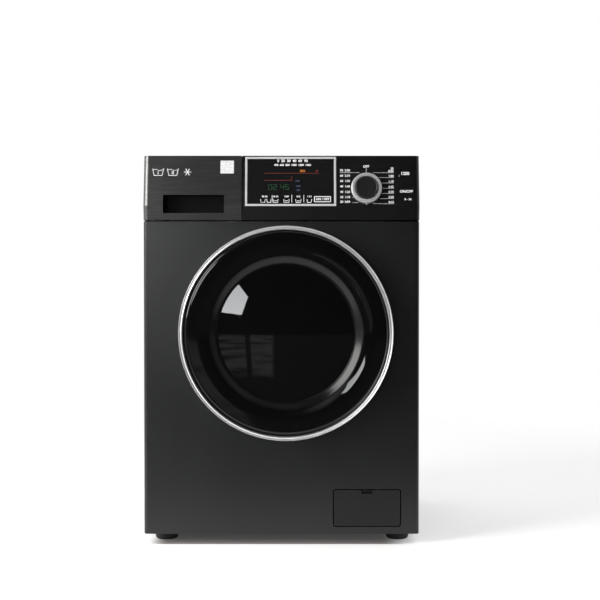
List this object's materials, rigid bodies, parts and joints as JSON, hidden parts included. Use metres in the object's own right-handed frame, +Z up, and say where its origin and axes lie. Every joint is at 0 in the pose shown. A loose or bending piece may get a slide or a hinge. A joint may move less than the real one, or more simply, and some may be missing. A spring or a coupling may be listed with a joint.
{
  "type": "front load washing machine",
  "caption": "Charcoal front load washing machine with a round glass door, a leaning console with a display, knob and detergent drawer, and a belt driven drum in a sprung tub.",
  "frame": {"origin": "centre of the machine's bounding box in plan, on the floor under the feet", "axes": "+Z up, the user stands on the -Y side, +X to that user's right"},
  "size_m": [0.6, 0.588, 0.846],
  "materials": {
    "cabinet_paint": "satin metallic charcoal paint",
    "rear_steel": "bare galvanised sheet",
    "base_plastic": "moulded, matte",
    "worktop_board": "laminated board, matte charcoal",
    "fascia_plastic": "satin black",
    "drawer_grey": "metallic charcoal, satin",
    "silver_trim": "satin chrome",
    "display_black": "gloss black with printed graphics",
    "circuit_board": "green board",
    "white_plastic": "moulded, off-white",
    "tub_plastic": "moulded, light grey",
    "blue_plastic": "moulded, blue",
    "grey_rubber": "soft grey",
    "black_rubber": "soft black",
    "concrete": "cast concrete",
    "stainless": "bright stainless",
    "steel": "zinc plated",
    "cast_aluminium": "as cast",
    "door_gloss": "gloss black moulding with a smoked window",
    "door_plastic": "moulded, matte",
    "bowl_glass": "clear pressed glass",
    "knob_plastic": "dark grey, satin",
    "flap_plastic": "painted to match the front"
  },
  "bodies": {
    "cabinet": {"front_panel": "cabinet_paint", "side_panel_left": "cabinet_paint", "side_panel_right": "cabinet_paint", "rear_panel": "rear_steel", "rear_service_cover": "rear_steel", "base_tray": "base_plastic", "worktop": "worktop_board", "top_cross_rails": "rear_steel", "console_fascia": "fascia_plastic", "display_frame": "silver_trim", "display_glass": "display_black", "control_board": "circuit_board", "dispenser_housing": "white_plastic", "inlet_valve": "white_plastic", "inlet_hoses": "black_rubber", "door_lock": "white_plastic", "hinge_bracket": "steel", "damper_cylinders": "base_plastic", "pump_housing": "white_plastic", "pump_hose": "black_rubber", "cabinet_screws": "steel", "cord_gland": "base_plastic", "door_gasket": "grey_rubber", "suspension_springs": "steel", "fill_hose": "black_rubber", "sump_hose": "black_rubber"},
    "tub": {"tub_rear": "tub_plastic", "tub_front": "tub_plastic", "counterweight_front": "concrete", "counterweight_top": "concrete", "heater_element": "stainless", "drum_bearings": "steel", "shaft_seal": "black_rubber", "motor_body": "cast_aluminium", "damper_rods": "steel", "drive_belt": "black_rubber"},
    "drum": {"drum_shell": "stainless", "drum_lifters": "tub_plastic", "drum_spider": "cast_aluminium", "drum_shaft": "steel", "drum_pulley": "cast_aluminium"},
    "motor": {"motor_pulley": "steel"},
    "door": {"door_cover": "door_gloss", "door_trim_ring": "silver_trim", "door_frame": "door_plastic", "door_glass": "bowl_glass", "door_hinge_arm": "steel"},
    "door_latch": {"door_hook": "steel"},
    "drawer": {"drawer_front": "drawer_grey", "drawer_tray": "white_plastic", "siphon_cap": "blue_plastic"},
    "knob": {"knob_ring": "silver_trim", "knob_cap": "knob_plastic"},
    "flap": {"filter_flap": "flap_plastic"},
    "filter": {"filter_cap": "blue_plastic"},
    "impeller": {"pump_impeller": "door_plastic"},
    "foot_front_left": {"foot_front_left": "black_rubber"},
    "foot_front_right": {"foot_front_right": "black_rubber"},
    "foot_rear_left": {"foot_rear_left": "black_rubber"},
    "foot_rear_right": {"foot_rear_right": "black_rubber"}
  },
  "joints": [
    {"name": "door_hinge", "type": "hinge", "parent": "cabinet", "child": "door", "pos_m": [-0.214, -0.2745, 0.461], "axis": [0, 0, -1], "range_deg": [0, 125]},
    {"name": "door_hook_pivot", "type": "hinge", "parent": "door", "child": "door_latch", "pos_m": [0.202, -0.271, 0.461], "axis": [0, 0, 1], "range_deg": [0, 6], "stiffness_Nm_per_rad": 0.08},
    {"name": "tub_bounce", "type": "slide", "parent": "cabinet", "child": "tub", "axis": [0, 0, 1], "range_m": [-0.008, 0.008], "stiffness_N_per_m": 20000, "springref_m": 0.0159, "deforming": ["door_gasket", "suspension_springs", "fill_hose", "sump_hose"]},
    {"name": "drum_spin", "type": "hinge", "parent": "tub", "child": "drum", "pos_m": [0.01, 0.196, 0.461], "axis": [0, -1, 0], "continuous": true},
    {"name": "motor_spin", "type": "hinge", "parent": "tub", "child": "motor", "pos_m": [-0.06, 0.196, 0.133], "axis": [0, -1, 0], "continuous": true},
    {"name": "drawer_slide", "type": "slide", "parent": "cabinet", "child": "drawer", "axis": [0, -1, 0], "range_m": [0, 0.17]},
    {"name": "knob_turn", "type": "hinge", "parent": "cabinet", "child": "knob", "pos_m": [0.1842, -0.25624, 0.7732], "axis": [0, -0.9839, 0.1789], "continuous": true},
    {"name": "flap_hinge", "type": "hinge", "parent": "cabinet", "child": "flap", "pos_m": [0.1863, -0.2505, 0.0422], "axis": [1, 0, 0], "range_deg": [0, 90]},
    {"name": "filter_turn", "type": "hinge", "parent": "cabinet", "child": "filter", "pos_m": [0.1863, -0.224, 0.0775], "axis": [0, -1, 0], "range_deg": [0, 180]},
    {"name": "impeller_spin", "type": "hinge", "parent": "cabinet", "child": "impeller", "pos_m": [0.1863, -0.099, 0.0775], "axis": [0, 1, 0], "continuous": true},
    {"name": "foot_front_left_turn", "type": "hinge", "parent": "cabinet", "child": "foot_front_left", "pos_m": [-0.257, -0.188, 0.01], "axis": [0, 0, 1], "continuous": true},
    {"name": "foot_front_right_turn", "type": "hinge", "parent": "cabinet", "child": "foot_front_right", "pos_m": [0.257, -0.188, 0.01], "axis": [0, 0, 1], "continuous": true},
    {"name": "foot_rear_left_turn", "type": "hinge", "parent": "cabinet", "child": "foot_rear_left", "pos_m": [-0.257, 0.231, 0.01], "axis": [0, 0, 1], "continuous": true},
    {"name": "foot_rear_right_turn", "type": "hinge", "parent": "cabinet", "child": "foot_rear_right", "pos_m": [0.257, 0.231, 0.01], "axis": [0, 0, 1], "continuous": true}
  ],
  "couplings": [
    {"joint": "motor_spin", "follows": "drum_spin", "ratio": 11.984}
  ]
}
